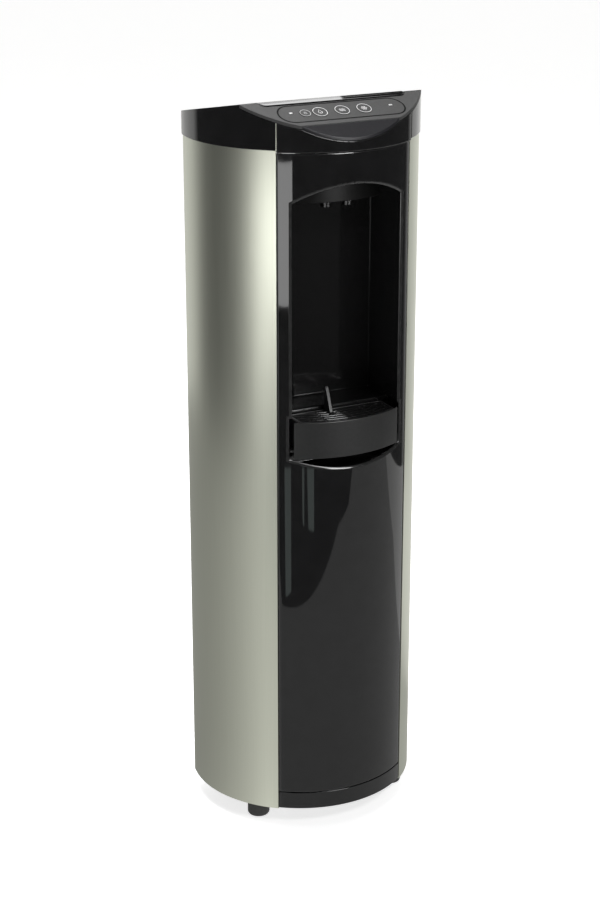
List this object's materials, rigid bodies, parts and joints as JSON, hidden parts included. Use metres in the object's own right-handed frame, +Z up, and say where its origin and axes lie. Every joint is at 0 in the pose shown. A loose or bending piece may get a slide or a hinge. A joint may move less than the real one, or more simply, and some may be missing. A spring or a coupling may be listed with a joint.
{
  "type": "water cooler",
  "caption": "Free-standing mains-fed water cooler with a round cabinet, arched dispensing niche, pull-out drip tray and sloped key panel.",
  "frame": {"origin": "on the floor, at the middle of the overall width and depth", "axes": "+Z up, front towards -Y, +X to the right of someone facing the front"},
  "size_m": [0.35, 0.2629, 1.1084],
  "materials": {
    "silver": "satin champagne silver metallic",
    "gloss_black": "high gloss",
    "control_grey": "satin",
    "brow_black": "satin",
    "tray_black": "fine matt texture",
    "nozzle_steel": "satin",
    "rubber_black": "matt",
    "back_black": "fine powder coat",
    "galvanised": "plain sheet",
    "stainless": "satin",
    "copper": "drawn tube",
    "foam_white": "moulded foam",
    "white_plastic": "satin",
    "board_green": "satin",
    "lens_clear": "clear",
    "tube_clear": "milky",
    "compressor_black": "satin paint",
    "socket_black": "satin"
  },
  "bodies": {
    "cabinet": {"base_pan": "back_black", "foot_front_left": "rubber_black", "foot_front_right": "rubber_black", "foot_rear_left": "rubber_black", "foot_rear_right": "rubber_black", "side_panel_left": "silver", "side_panel_right": "silver", "back_panel": "back_black", "front_panel": "gloss_black", "kick_plate": "gloss_black", "niche_liner": "gloss_black", "nozzle_housing": "gloss_black", "nozzle_cold": "nozzle_steel", "nozzle_hot": "nozzle_steel", "cap_shell": "gloss_black", "top_lid": "gloss_black", "fascia_band": "gloss_black", "control_plate": "control_grey", "brow_plate": "brow_black", "key_panel": "control_grey", "indicator_lenses": "lens_clear", "control_board": "board_green", "shelf": "galvanised", "compressor": "compressor_black", "compressor_grommets": "rubber_black", "drier": "copper", "cold_tank": "stainless", "evaporator_coil": "copper", "cold_tank_foam": "foam_white", "hot_tank": "stainless", "hot_tank_jacket": "foam_white", "heating_element": "copper", "filter_head": "white_plastic", "filter_cartridge": "white_plastic", "valve_bracket": "galvanised", "valve_cold": "white_plastic", "valve_hot": "white_plastic", "valve_ambient": "white_plastic", "outlet_tubes": "tube_clear", "riser_tubes": "tube_clear", "power_box": "white_plastic", "condenser": "back_black", "condenser_brackets": "back_black", "water_inlet": "white_plastic", "drain_spigot": "white_plastic", "mains_inlet": "socket_black", "switch_frame": "socket_black"},
    "tray": {"drip_tray": "tray_black"},
    "grille": {"drip_grille": "tray_black"},
    "key_lock": {"key_lock": "control_grey"},
    "key_hot": {"key_hot": "control_grey"},
    "key_ambient": {"key_ambient": "control_grey"},
    "key_cold": {"key_cold": "control_grey"},
    "rocker_heat": {"rocker_heat": "socket_black"},
    "rocker_cool": {"rocker_cool": "socket_black"},
    "drain_cap": {"drain_cap": "socket_black"}
  },
  "joints": [
    {"name": "tray_slide", "type": "slide", "parent": "cabinet", "child": "tray", "axis": [0, -1, 0], "range_m": [0, 0.06]},
    {"name": "grille_lift", "type": "slide", "parent": "tray", "child": "grille", "axis": [0, 0, 1], "range_m": [0, 0.02]},
    {"name": "key_lock_press", "type": "slide", "parent": "cabinet", "child": "key_lock", "axis": [0, 0.4067, -0.9135], "range_m": [0, 0.0008], "stiffness_N_per_m": 600},
    {"name": "key_hot_press", "type": "slide", "parent": "cabinet", "child": "key_hot", "axis": [0, 0.4067, -0.9135], "range_m": [0, 0.0008], "stiffness_N_per_m": 600},
    {"name": "key_ambient_press", "type": "slide", "parent": "cabinet", "child": "key_ambient", "axis": [0, 0.4067, -0.9135], "range_m": [0, 0.0008], "stiffness_N_per_m": 600},
    {"name": "key_cold_press", "type": "slide", "parent": "cabinet", "child": "key_cold", "axis": [0, 0.4067, -0.9135], "range_m": [0, 0.0008], "stiffness_N_per_m": 600},
    {"name": "rocker_heat_turn", "type": "hinge", "parent": "cabinet", "child": "rocker_heat", "pos_m": [-0.101, 0.09505, 0.178], "axis": [-1, 0, 0], "range_deg": [0, 20]},
    {"name": "rocker_cool_turn", "type": "hinge", "parent": "cabinet", "child": "rocker_cool", "pos_m": [-0.083, 0.09505, 0.178], "axis": [-1, 0, 0], "range_deg": [0, 20]},
    {"name": "drain_cap_pull", "type": "slide", "parent": "cabinet", "child": "drain_cap", "axis": [0, 1, 0], "range_m": [0, 0.02]}
  ]
}
